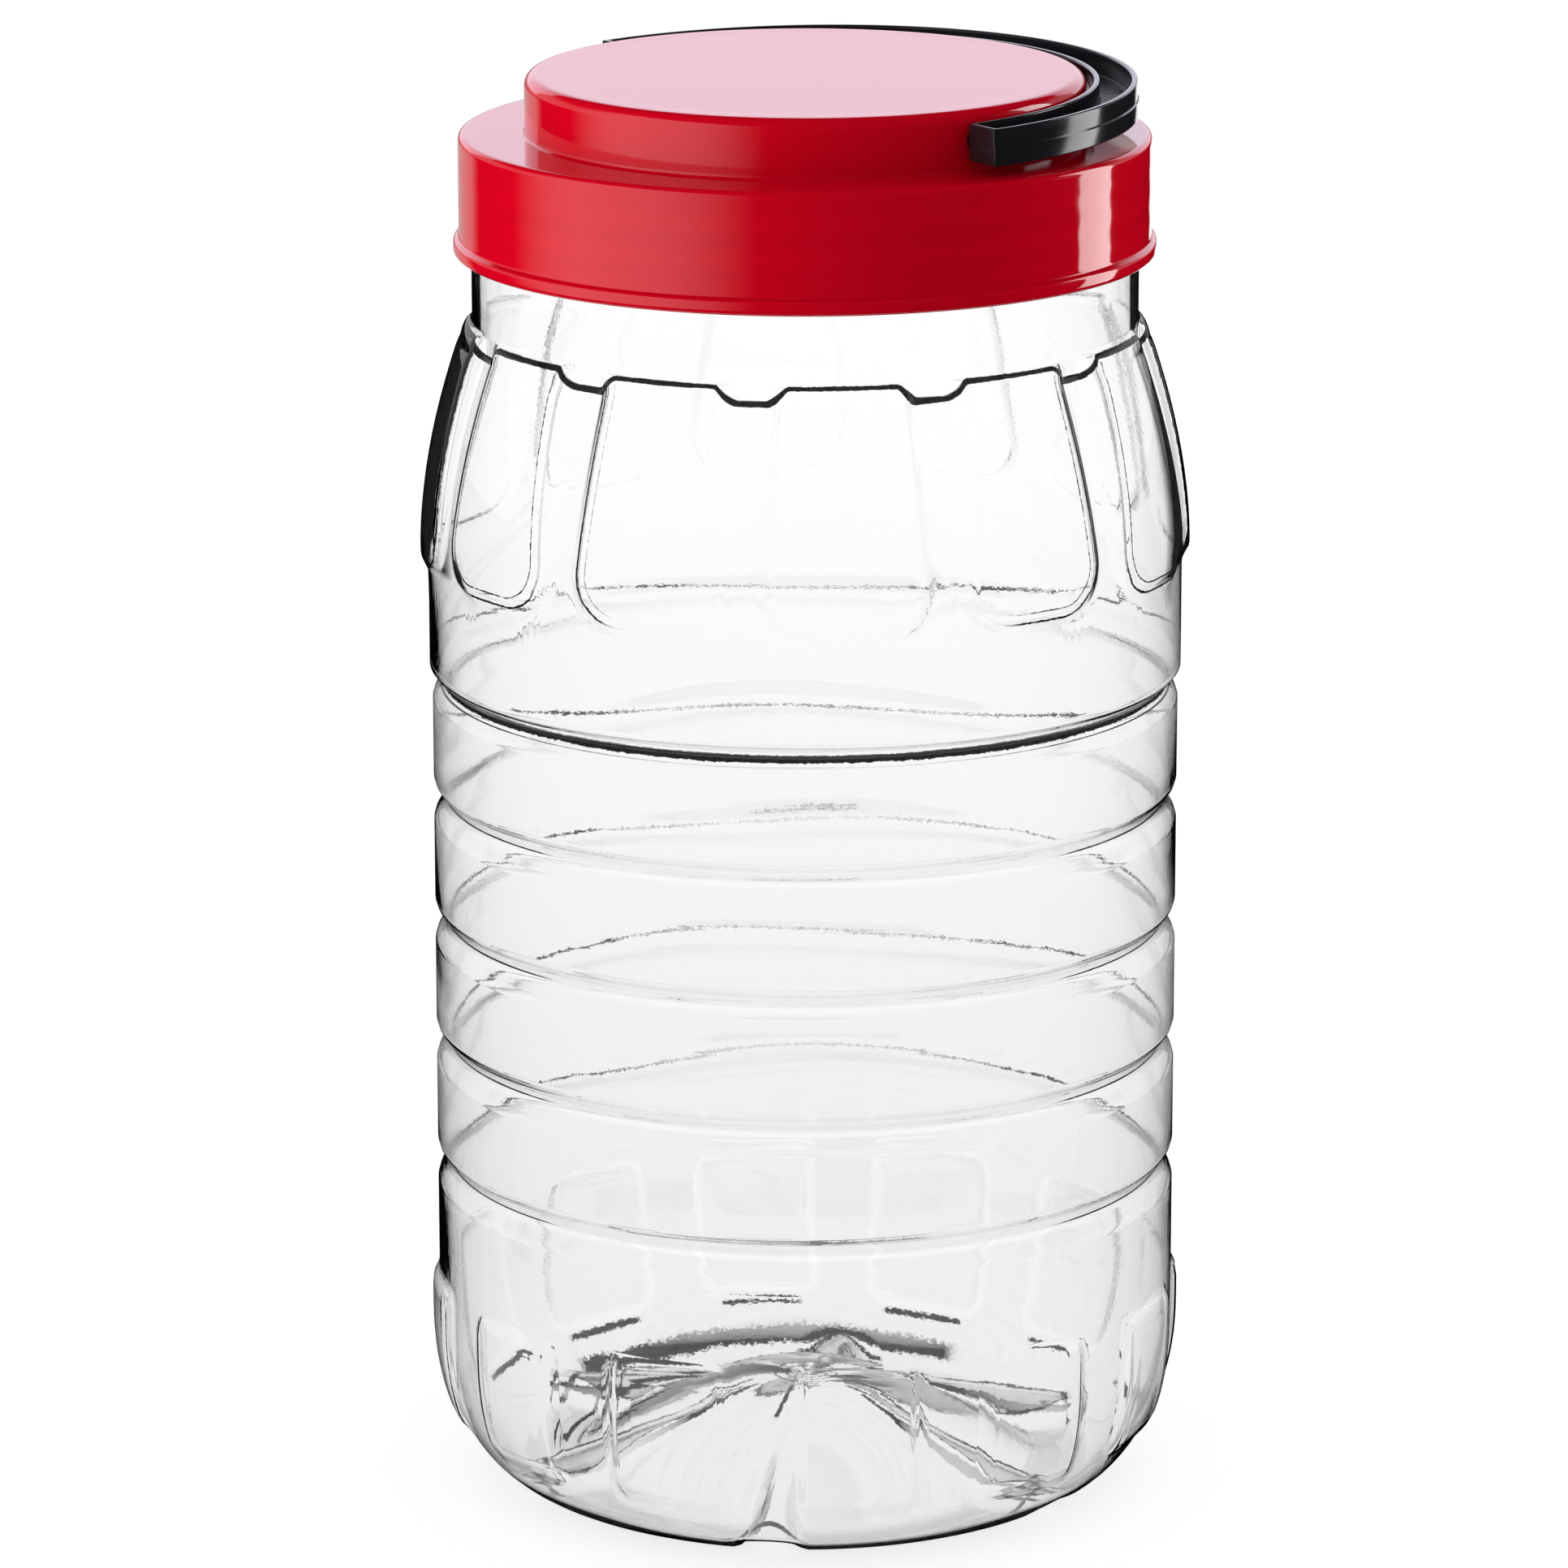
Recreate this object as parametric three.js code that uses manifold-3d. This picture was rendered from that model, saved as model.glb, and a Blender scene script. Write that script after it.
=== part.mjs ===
// Storage jar of clear plastic with a screw cap, a sealing disc and a swing handle.
// Millimetres, +Z up. The origin is the centre of the base, on the surface that the jar stands on.
// The handle's pins lie along X. The handle rests folded round the cap's boss, on the +Y side.

import * as THREE from 'three';
import { mergeVertices } from 'three/addons/utils/BufferGeometryUtils.js';
import Module from 'manifold-3d';

const wasm = await Module();
wasm.setup();

// Jar wall
const bodyRadius = 67;
const bandRadius = 67.5;
const bodyWall = 0.9;
const neckWall = 1.5;

// Base and heel: feet with rounded channels between them, round a pushed-up centre
const footCount = 6;
const footRadius = 46;
const footWidth = 3.5;
const gateRadius = 8;
const pushUp = 15.5;
const heelHeight = 32;
const heelPower = 2.25;
const lobePower = 1.5;
const channelEndRadius = 55.5;
const channelEndHeight = 4.5;
const channelPower = 1.3;
const channelHalfAngle = THREE.MathUtils.degToRad(7.5);
const firstChannel = THREE.MathUtils.degToRad(45);
const heelShares = [0.03, 0.11, 0.22];

// Raised windows round the lower section
const windowBottom = 10.5;
const windowHeight = 29;
const windowWidth = 24;
const windowProud = 1.2;
const windowEdge = 1.4;
const windowCorner = 2.5;
const lowerTurn = THREE.MathUtils.degToRad(2);

// Ring grooves
const grooveCount = 5;
const firstGrooveHeight = 59.6;
const groovePitch = 22.55;
const grooveDepth = 2.3;
const grooveHalfWidth = 3.2;

// Shoulder with raised panels
const bandHeight = 22.9;
const shoulderRise = 38.3;
const shoulderPower = 1.75;
const panelWidthLow = 27;
const panelWidthHigh = 20;
const panelProudLow = 1.4;
const panelProudHigh = 2.4;
const panelEdge = 2.4;
const panelCorner = 8.5;
const panelAboveShoulder = 3.5;
const panelRollHeight = 5.5;
const panelRowShares = [0.35, 0.7];
const panelCornerShare = 0.45;

// Neck and its thread
const neckRadius = 59.3;
const neckBandHeight = 20;
const neckStep = 0.6;
const finishRadius = 58.3;
const threadPitch = 6;
const threadDepth = 1.4;
const threadRootWidth = 2.2;
const threadCrestWidth = 1;
const threadInset = 2.2;
const threadClearance = 0.4;
const jarThreadTurns = 1.25;
const capThreadTurns = 1;
const spareTurns = 0.5;
const belowThread = 0.5;
const threadEndShare = 0.5;

// Screw cap
const capWall = 1.4;
const skirtHeight = 21.3;
const beadHeight = 2.8;
const beadProud = 1;
const ledgeEdge = 1.2;
const bossRadius = 50.4;
const bossHeight = 10.5;
const bossEdge = 2.6;

// Sealing disc
const linerThickness = 1.8;
const linerClearance = 0.4;
const seatGap = 0.3;

// Swing handle
const pivotDrop = 5.05;
const handleGap = 0.6;
const handleWidth = 7.8;
const handleHeight = 6.6;
const handleWall = 1.1;
const handleFloor = 1.2;
const handleEndReach = 2.7;
const pinRadius = 1.6;
const pinReach = 1.6;
const pinChamfer = 0.4;
const pinClearance = 0.25;

// How finely round shapes are divided, and how far a cut runs past its face
const unitCount = 12;
const columnsPerUnit = 6;
const columnCount = unitCount * columnsPerUnit;
const columnShares = { base: [0.3, 0.4], rings: [1 / 6, 1 / 3], neck: [1 / 6, 1 / 3] };
const arcSteps = 3;
const handleSteps = 22;
const pinSides = 16;
const overrun = 1;

// Heights that follow from the sizes above
const windowTop = windowBottom + windowHeight;
const shoulderStart = firstGrooveHeight + (grooveCount - 1) * groovePitch + bandHeight;
const shoulderTop = shoulderStart + shoulderRise;
const panelTop = shoulderTop + panelAboveShoulder;
const panelRollStart = panelTop - panelRollHeight;
const finishBottom = shoulderTop + neckBandHeight;
const finishHeight = threadInset + (jarThreadTurns + spareTurns) * threadPitch + belowThread;
const rimHeight = finishBottom + finishHeight;
const linerBottom = rimHeight + seatGap;
const ledgeUnderside = linerBottom + linerThickness + seatGap;

// Radii and heights of the cap, measured from the underside of its ledge
const capCrestRadius = finishRadius + threadClearance;
const skirtInnerRadius = finishRadius + threadDepth + threadClearance;
const skirtRadius = skirtInnerRadius + capWall;
const skirtBottom = capWall - skirtHeight;
const bossTop = capWall + bossHeight;
const pivotHeight = bossTop - pivotDrop;

const clamp01 = (value) => THREE.MathUtils.clamp(value, 0, 1);
const { lerp } = THREE.MathUtils;
const fullTurn = 2 * Math.PI;

// A closed solid from a geometry: only positions, shared vertices merged, no collapsed triangles
function toSolid(geometry) {
  const bare = geometry.clone();
  bare.deleteAttribute('normal');
  bare.deleteAttribute('uv');
  const merged = mergeVertices(bare);
  const triangles = [];
  for (let i = 0; i < merged.index.count; i += 3) {
    const [a, b, c] = [0, 1, 2].map((corner) => merged.index.getX(i + corner));
    if (a !== b && b !== c && c !== a) triangles.push(a, b, c);
  }
  return new wasm.Manifold(new wasm.Mesh({
    numProp: 3,
    vertProperties: new Float32Array(merged.attributes.position.array),
    triVerts: new Uint32Array(triangles),
  }));
}

// The geometry of a solid
function toGeometry(solid) {
  const mesh = solid.getMesh();
  const geometry = new THREE.BufferGeometry();
  geometry.setAttribute('position', new THREE.BufferAttribute(new Float32Array(mesh.vertProperties), 3));
  geometry.setIndex(new THREE.BufferAttribute(new Uint32Array(mesh.triVerts), 1));
  geometry.computeVertexNormals();
  return geometry;
}

// A lathed geometry about +Z from points of radius and height
function lathe(points, segments = columnCount) {
  return new THREE.LatheGeometry(points, segments).rotateX(Math.PI / 2);
}

// Points of a quarter round from one angle to another, in the plane of radius and height
function roundedEdge(centreRadius, centreHeight, edgeRadius, fromAngle, toAngle) {
  return Array.from({ length: arcSteps + 1 }, (_, i) => {
    const angle = lerp(fromAngle, toAngle, i / arcSteps);
    return new THREE.Vector2(
      centreRadius + edgeRadius * Math.cos(angle),
      centreHeight + edgeRadius * Math.sin(angle),
    );
  });
}

// A closed solid skinned over rings of points, with flat ends
function skinned(rings) {
  const sides = rings[0].length;
  const geometry = new THREE.BufferGeometry().setFromPoints(rings.flat());
  const index = [];
  for (let i = 0; i + 1 < rings.length; i += 1) {
    for (let j = 0; j < sides; j += 1) {
      const [a, b] = [i * sides + j, i * sides + ((j + 1) % sides)];
      index.push(a, b, a + sides, b, b + sides, a + sides);
    }
  }
  const last = (rings.length - 1) * sides;
  for (let j = 1; j + 1 < sides; j += 1) {
    index.push(0, j + 1, j, last, last + j, last + j + 1);
  }
  return geometry.setIndex(index);
}

// A thread ridge that climbs anticlockwise, with its ends run out into the wall it stands on.
// It starts at turn zero, and its middle is at startHeight there.
function threadRidge(rootRadius, crestRadius, startHeight, turns) {
  const steps = Math.round(turns * columnCount);
  const rings = Array.from({ length: steps + 1 }, (_, i) => {
    const angle = (i / columnCount) * fullTurn;
    const height = startHeight + (i / columnCount) * threadPitch;
    const runout = clamp01(Math.min(i, steps - i) / columnsPerUnit);
    const crest = lerp(rootRadius, crestRadius, lerp(threadEndShare, 1, runout));
    const corner = (radius, offset) => new THREE.Vector3(
      radius * Math.cos(angle),
      radius * Math.sin(angle),
      height + offset,
    );
    return [
      corner(rootRadius, -threadRootWidth / 2),
      corner(crest, -threadCrestWidth / 2),
      corner(crest, threadCrestWidth / 2),
      corner(rootRadius, threadRootWidth / 2),
    ];
  });
  if (crestRadius > rootRadius) rings.forEach((ring) => ring.reverse());
  return toSolid(skinned(rings));
}

// Radius of the heel at a height above the base
function heelRadius(height) {
  const left = 1 - clamp01(height / heelHeight);
  return lerp(footRadius, bodyRadius, (1 - left ** heelPower) ** (1 / heelPower));
}

// Radius of the shoulder between its raised panels
function shoulderRadius(height) {
  return lerp(bandRadius, neckRadius, clamp01((height - shoulderStart) / shoulderRise) ** shoulderPower);
}

// Height of a foot's inner slope, and of the channel between two feet
function lobeHeight(radius) {
  const share = clamp01((radius - gateRadius) / (footRadius - footWidth - gateRadius));
  return pushUp * (1 - share ** lobePower);
}
function channelHeight(radius) {
  return lerp(pushUp, channelEndHeight, (radius / channelEndRadius) ** channelPower);
}

// How far a panel and a window stand proud at a height
function panelProud(height) {
  const start = clamp01((height - shoulderStart) / panelEdge);
  const climb = clamp01((height - shoulderStart) / (panelRollStart - shoulderStart));
  const roll = clamp01((height - panelRollStart) / panelRollHeight);
  return start * lerp(panelProudLow, panelProudHigh, climb) * Math.sqrt(1 - roll * roll);
}
function windowRaise(height) {
  const inside = Math.min(height - windowBottom, windowTop - height);
  return windowProud * clamp01(inside / windowEdge);
}

// Half the width of a raised shape at a distance inside its rounded end
function halfWidth(width, corner, inside) {
  const left = corner - Math.min(inside, corner);
  return width / 2 - corner + Math.sqrt(corner * corner - left * left);
}

// Angles, from the middle of a unit, of the edge of its raised shape and of the foot of that edge
function edgeAngles({ zone, radius, height }) {
  if (zone === 'windows') {
    const inside = Math.min(height - windowBottom, windowTop - height);
    const half = halfWidth(windowWidth, windowCorner, inside);
    return [(half - windowEdge) / radius, half / radius];
  }
  if (zone === 'shoulder') {
    const climb = clamp01((height - shoulderStart) / (panelRollStart - shoulderStart));
    const half = halfWidth(lerp(panelWidthLow, panelWidthHigh, climb), panelCorner, height - shoulderStart);
    return [half / radius, (half + panelEdge) / radius];
  }
  return columnShares[zone].map((share) => (share * fullTurn) / unitCount);
}

// Rows of the outer wall from the centre of the base to the rim, each with the zone it is in
function outerRows() {
  const rows = [];
  const row = (zone, radius, height) => rows.push({ zone, radius, height });
  const footInner = footRadius - footWidth;
  const middle = (gateRadius + footInner) / 2;
  row('base', 0, pushUp);
  row('base', gateRadius, pushUp);
  row('base', middle, lobeHeight(middle));
  row('base', footInner, 0);
  row('base', footRadius, 0);
  heelShares.forEach((share) => row('base', heelRadius(share * heelHeight), share * heelHeight));
  [windowBottom, windowBottom + windowEdge, windowTop - windowEdge, windowTop].forEach((height) => {
    row('windows', heelRadius(height), height);
  });
  for (let i = 0; i < grooveCount; i += 1) {
    const height = firstGrooveHeight + i * groovePitch;
    row('rings', bodyRadius, height - grooveHalfWidth);
    row('rings', bodyRadius - grooveDepth, height);
    row('rings', i + 1 < grooveCount ? bodyRadius : bandRadius, height + grooveHalfWidth);
  }
  const corner = shoulderStart + panelCorner;
  const ends = [shoulderStart, shoulderStart + panelEdge / 2, shoulderStart + panelCorner * panelCornerShare];
  const climb = panelRowShares.map((share) => lerp(corner, panelRollStart, share));
  [...ends, corner, ...climb, panelRollStart, shoulderTop, panelTop].forEach((height) => {
    row('shoulder', shoulderRadius(height), height);
  });
  row('neck', neckRadius, finishBottom);
  row('neck', finishRadius, finishBottom + neckStep);
  row('neck', finishRadius, rimHeight);
  return rows;
}

// A row of the inner wall, one wall thickness inside a row of the outer wall
function innerRow(rows, i) {
  const here = rows[i];
  const before = rows[Math.max(i - 1, 0)];
  const after = rows[Math.min(i + 1, rows.length - 1)];
  const along = new THREE.Vector2(after.radius - before.radius, after.height - before.height).normalize();
  const onAxis = i === 0;
  const wall = here.zone === 'neck' ? neckWall : bodyWall;
  const straight = onAxis || i === rows.length - 1;
  const inward = straight ? new THREE.Vector2(onAxis ? 0 : -1, onAxis ? 1 : 0) : new THREE.Vector2(-along.y, along.x);
  return {
    radius: here.radius + inward.x * wall,
    height: here.height + inward.y * wall,
    outer: here,
  };
}

// Places one point of the wall: its column's angle, and what stands proud or is pushed up there
function wallPoint(row, column) {
  const key = row.outer ?? row;
  const unit = Math.floor(column / columnsPerUnit);
  const place = column % columnsPerUnit;
  const [edge, foot] = edgeAngles(key);
  const unitAngle = fullTurn / unitCount;
  const fromMiddle = [0, edge, foot, unitAngle / 2, unitAngle - foot, unitAngle - edge][place];
  const turned = unit * unitAngle + fromMiddle;
  const angle = turned + (['base', 'windows'].includes(key.zone) ? lowerTurn : 0);

  const isRaised = [0, 1, columnsPerUnit - 1].includes(place);
  const proud = { windows: windowRaise, shoulder: panelProud }[key.zone]?.(key.height) ?? 0;
  const radius = row.radius + (isRaised ? proud : 0);

  const footAngle = fullTurn / footCount;
  const feetPassed = (turned - firstChannel) / footAngle;
  const fromChannel = Math.abs(feetPassed - Math.round(feetPassed)) * footAngle;
  const inChannel = clamp01(1 - fromChannel / channelHalfAngle);
  const lift = key.zone === 'base' ? Math.max(0, channelHeight(key.radius) - key.height) : 0;
  const height = row.height + lift * Math.sin((inChannel * Math.PI) / 2) ** 2;
  return [radius * Math.sin(angle), -radius * Math.cos(angle), height];
}

// A solid with a flat top, lathed through rows and then moved to its panels, windows, grooves and feet
function shapedSolid(rows) {
  const points = rows.map(({ radius, height }) => new THREE.Vector2(radius, height));
  points.push(new THREE.Vector2(0, rows[rows.length - 1].height));
  const geometry = lathe(points);
  const { position } = geometry.attributes;
  for (let i = 0; i < position.count; i += 1) {
    const row = rows[i % points.length];
    const column = Math.floor(i / points.length) % columnCount;
    if (row) position.setXYZ(i, ...wallPoint(row, column));
  }
  return toSolid(geometry);
}

// The jar: the shape of its outside, with the thread on its neck, less the shape of its inside
function jarBody() {
  const outer = outerRows();
  const inner = outer.map((_, i) => innerRow(outer, i));
  inner.push({ ...inner[inner.length - 1], height: rimHeight + overrun });
  const threadStart = rimHeight - threadInset - jarThreadTurns * threadPitch;
  const thread = threadRidge(finishRadius - neckWall / 2, finishRadius + threadDepth, threadStart, jarThreadTurns);
  return toGeometry(shapedSolid(outer).add(thread).subtract(shapedSolid(inner)));
}

// The cap, with its ledge's underside at height zero
function screwCap() {
  const quarter = Math.PI / 2;
  const beadRadius = beadHeight / 2;
  const profile = [
    new THREE.Vector2(0, bossTop - capWall),
    new THREE.Vector2(bossRadius - capWall, bossTop - capWall),
    new THREE.Vector2(bossRadius - capWall, 0),
    new THREE.Vector2(skirtInnerRadius, 0),
    new THREE.Vector2(skirtInnerRadius, skirtBottom),
    new THREE.Vector2(skirtRadius, skirtBottom),
    new THREE.Vector2(skirtRadius + beadProud, skirtBottom + beadRadius / 2),
    new THREE.Vector2(skirtRadius + beadProud, skirtBottom + beadHeight - beadRadius / 2),
    new THREE.Vector2(skirtRadius, skirtBottom + beadHeight),
    ...roundedEdge(skirtRadius - ledgeEdge, capWall - ledgeEdge, ledgeEdge, 0, quarter),
    new THREE.Vector2(bossRadius, capWall),
    ...roundedEdge(bossRadius - bossEdge, bossTop - bossEdge, bossEdge, 0, quarter),
    new THREE.Vector2(0, bossTop),
  ];
  const threadTop = -seatGap - linerThickness - seatGap - threadInset - threadPitch / 2;
  const ridge = threadRidge(
    skirtInnerRadius + capWall / 2,
    capCrestRadius,
    threadTop - jarThreadTurns * threadPitch,
    capThreadTurns,
  );
  const hole = new THREE.CylinderGeometry(pinRadius + pinClearance, pinRadius + pinClearance,
    2 * (bossRadius + overrun), pinSides);
  hole.rotateZ(quarter).translate(0, 0, pivotHeight);
  return toGeometry(toSolid(lathe(profile)).add(ridge).subtract(toSolid(hole)));
}

// The disc that the cap presses on the jar's rim
function sealingLiner() {
  const radius = skirtInnerRadius - linerClearance;
  return lathe([
    new THREE.Vector2(0, 0),
    new THREE.Vector2(radius, 0),
    new THREE.Vector2(radius, linerThickness),
    new THREE.Vector2(0, linerThickness),
  ]);
}

// A piece of a ring on the +Y side, between two radii, reaching past the X axis by a length at each end
function ringPiece(innerRadius, outerRadius, endReach, depth) {
  const past = Math.asin(endReach / ((innerRadius + outerRadius) / 2));
  const shape = new THREE.Shape();
  shape.absarc(0, 0, outerRadius, -past, Math.PI + past, false);
  shape.absarc(0, 0, innerRadius, Math.PI + past, -past, true);
  return new THREE.ExtrudeGeometry(shape, { depth, bevelEnabled: false, curveSegments: handleSteps });
}

// The handle, with its pins on the X axis: a half ring of channel section, open at the top
function carryHandle() {
  const innerRadius = bossRadius + handleGap;
  const outerRadius = innerRadius + handleWidth;
  const bar = ringPiece(innerRadius, outerRadius, handleEndReach, handleHeight);
  bar.translate(0, 0, -handleHeight / 2);
  const channel = ringPiece(innerRadius + handleWall, outerRadius - handleWall,
    handleEndReach - handleWall, handleHeight);
  channel.translate(0, 0, handleFloor - handleHeight / 2);
  const pinTip = bossRadius - capWall - pinReach;
  const pin = lathe([
    new THREE.Vector2(0, pinTip),
    new THREE.Vector2(pinRadius - pinChamfer, pinTip),
    new THREE.Vector2(pinRadius, pinTip + pinChamfer),
    new THREE.Vector2(pinRadius, innerRadius + handleWall / 2),
    new THREE.Vector2(0, innerRadius + handleWall / 2),
  ], pinSides);
  const rightPin = toSolid(pin.clone().rotateY(Math.PI / 2));
  const leftPin = toSolid(pin.clone().rotateY(-Math.PI / 2));
  return toGeometry(toSolid(bar).subtract(toSolid(channel)).add(rightPin).add(leftPin));
}

const clearPlastic = new THREE.MeshStandardMaterial({
  color: 0xf2f5f6, roughness: 0.06, metalness: 0, transparent: true, opacity: 0.3,
});
const redPlastic = new THREE.MeshStandardMaterial({ color: 0xc00a20, roughness: 0.16, metalness: 0 });
const blackPlastic = new THREE.MeshStandardMaterial({ color: 0x141416, roughness: 0.28, metalness: 0 });
const whiteFoam = new THREE.MeshStandardMaterial({ color: 0xf0efea, roughness: 0.8, metalness: 0 });

function piece(name, geometry, material, height = 0) {
  const mesh = new THREE.Mesh(geometry, material);
  mesh.name = name;
  mesh.position.z = height;
  return mesh;
}

// The lid is put together at the underside of the cap's ledge and set on the jar
const lid = new THREE.Group();
lid.position.z = ledgeUnderside;
lid.add(
  piece('sealing_liner', sealingLiner(), whiteFoam, -seatGap - linerThickness),
  piece('screw_cap', screwCap(), redPlastic),
  piece('carry_handle', carryHandle(), blackPlastic, pivotHeight),
);

const jar = new THREE.Group();
jar.add(piece('jar_body', jarBody(), clearPlastic), lid);

export default jar;
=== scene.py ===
from math import asin, cos, pi, radians, sin, sqrt, tau

import bpy
import numpy as np
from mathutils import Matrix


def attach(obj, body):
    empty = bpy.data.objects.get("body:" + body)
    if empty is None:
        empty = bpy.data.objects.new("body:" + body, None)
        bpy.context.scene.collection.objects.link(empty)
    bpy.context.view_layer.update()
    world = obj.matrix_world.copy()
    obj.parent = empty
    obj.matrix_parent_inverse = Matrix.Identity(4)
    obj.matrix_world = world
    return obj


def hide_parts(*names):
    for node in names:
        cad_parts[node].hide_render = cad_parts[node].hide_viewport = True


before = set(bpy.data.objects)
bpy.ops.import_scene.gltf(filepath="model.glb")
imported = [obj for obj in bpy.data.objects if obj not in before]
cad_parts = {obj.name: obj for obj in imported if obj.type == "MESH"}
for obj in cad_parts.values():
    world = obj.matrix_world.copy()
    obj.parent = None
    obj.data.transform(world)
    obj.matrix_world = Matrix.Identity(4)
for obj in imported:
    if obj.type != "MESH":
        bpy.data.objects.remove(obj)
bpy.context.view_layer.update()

# Camera: a long lens a little above the lid, from the side where the folded
# handle shows its right end.
camera_azimuth = radians(53.8)
camera_pitch = radians(14.52)
camera_distance = 1.417
camera_height = 0.4955
bpy.ops.object.camera_add(
    location=(camera_distance * sin(camera_azimuth), -camera_distance * cos(camera_azimuth), camera_height),
    rotation=(pi / 2 - camera_pitch, 0, camera_azimuth),
)
camera = bpy.context.object
camera.data.sensor_width = 36
camera.data.lens = 186
camera.data.shift_x = -0.0135
bpy.context.scene.camera = camera
bpy.context.scene.view_settings.view_transform = "Standard"


# Jar: one blow-moulded shell of clear polyester, thin in the body and thicker
# at the neck. Raised panels stiffen its shoulder, five ring grooves its middle
# and raised windows its lower part; the base is pushed up between six feet.
mm = 0.001
body_radius, band_radius, neck_radius, finish_radius = 67.0, 67.5, 59.3, 58.3
foot_radius, foot_inner, gate_radius, push_up = 46.0, 42.5, 8.0, 15.5
heel_height, heel_power = 32.0, 2.25
window_bottom, window_top, window_width, window_proud = 10.5, 39.5, 24.0, 1.2
window_edge, window_corner = 3.2, 4.0
groove_heights = [59.6 + 22.55 * i for i in range(5)]
groove_depth, groove_half, first_groove_half = 2.3, 4.1, 2.3
shoulder_start, shoulder_top, panel_top, finish_bottom, rim_height = 172.7, 211.0, 214.5, 231.0, 244.2
panel_roll = 209.0
panel_edge, panel_corner, panel_half, panel_taper = 3.2, 8.5, 13.5, 3.5
thread_pitch, thread_depth, thread_start, thread_turns = 6.0, 1.4, 234.5, 1.25
channel_end_radius, channel_end_height, channel_half = 55.5, 4.5, radians(7.5)
channel_azimuth, lower_turn = radians(47), radians(2)
columns_per_unit, unit_count = 20, 12
neck_wall, body_wall = 1.5, 0.9


def smooth_step(share):
    share = np.clip(share, 0, 1)
    return share * share * (3 - 2 * share)


def start_modelling():
    if bpy.context.object and bpy.context.object.mode != "OBJECT":
        bpy.ops.object.mode_set(mode="OBJECT")
    bpy.ops.object.select_all(action="DESELECT")


def work_on(piece):
    start_modelling()
    piece.select_set(True)
    bpy.context.view_layer.objects.active = piece


def drawn(name, profile):
    """A line drawn through radii and heights in millimetres, left in edit mode and selected."""
    start_modelling()
    bpy.ops.mesh.primitive_plane_add(size=mm)
    piece = bpy.context.object
    piece.name = piece.data.name = name
    bpy.ops.object.mode_set(mode="EDIT")
    bpy.ops.mesh.select_mode(type="VERT")
    bpy.ops.mesh.select_all(action="SELECT")
    bpy.ops.mesh.merge(type="CENTER")
    at = (0, 0)
    for count, (radius, height) in enumerate(profile):
        move = ((radius - at[0]) * mm, 0, (height - at[1]) * mm)
        if count == 0:
            bpy.ops.transform.translate(value=move)
        else:
            bpy.ops.mesh.extrude_region_move(TRANSFORM_OT_translate={"value": move})
        at = (radius, height)
    bpy.ops.mesh.select_all(action="SELECT")
    return piece


def turned(name, profile, steps):
    """A shape turned about the jar's axis from radii and heights in millimetres."""
    piece = drawn(name, profile)
    bpy.ops.mesh.spin(steps=steps, angle=tau, center=(0, 0, 0), axis=(0, 0, 1))
    bpy.ops.mesh.select_all(action="SELECT")
    bpy.ops.mesh.remove_doubles(threshold=mm / 1000)
    bpy.ops.mesh.normals_make_consistent(inside=False)
    bpy.ops.object.mode_set(mode="OBJECT")
    return piece


def held_flat(profile, close=0.3):
    """The profile with extra points near the ends of long straight stretches, so that they shade flat."""
    points = [profile[0]]
    for start, end in zip(profile, profile[1:]):
        length = sqrt((end[0] - start[0]) ** 2 + (end[1] - start[1]) ** 2)
        if length > 4 * close:
            for share in (close / length, 1 - close / length):
                points.append(tuple(a + share * (b - a) for a, b in zip(start, end)))
        points.append(end)
    return points


def apply_modifier(piece, kind, **settings):
    work_on(piece)
    modifier = piece.modifiers.new(kind.title(), kind)
    for name, value in settings.items():
        setattr(modifier, name, value)
    bpy.ops.object.modifier_apply(modifier=modifier.name)


def clear_slivers(piece, width=0.004 * mm):
    """Clears the needle faces that a cut leaves, narrower than the width."""
    work_on(piece)
    bpy.ops.object.mode_set(mode="EDIT")
    bpy.ops.mesh.select_mode(type="VERT")
    bpy.ops.mesh.select_all(action="SELECT")
    bpy.ops.mesh.remove_doubles(threshold=width)
    bpy.ops.mesh.dissolve_degenerate(threshold=width)
    bpy.ops.object.mode_set(mode="OBJECT")


def positions(piece):
    flat = np.empty(3 * len(piece.data.vertices), dtype=np.float32)
    piece.data.vertices.foreach_get("co", flat)
    return flat.reshape(-1, 3).astype(float) / mm


def set_positions(piece, places):
    piece.data.vertices.foreach_set("co", (places * mm).astype(np.float32).ravel())
    piece.data.update()


def foot_profile(radius):
    share = np.clip((radius - gate_radius) / (foot_inner - gate_radius), 0, 1)
    return push_up * (1 - share**1.5)


def shoulder_radius(height):
    share = np.clip((height - shoulder_start) / (shoulder_top - shoulder_start), 0, 1)
    return band_radius + (neck_radius - band_radius) * share**1.75


def groove(height):
    cut = 0
    for middle in groove_heights:
        half = np.where((middle == groove_heights[-1]) & (height > middle), first_groove_half, groove_half)
        away = np.clip(abs(height - middle) / half, 0, 1)
        cut = cut + groove_depth * (0.5 + 0.5 * np.cos(pi * away))
    return cut


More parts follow.
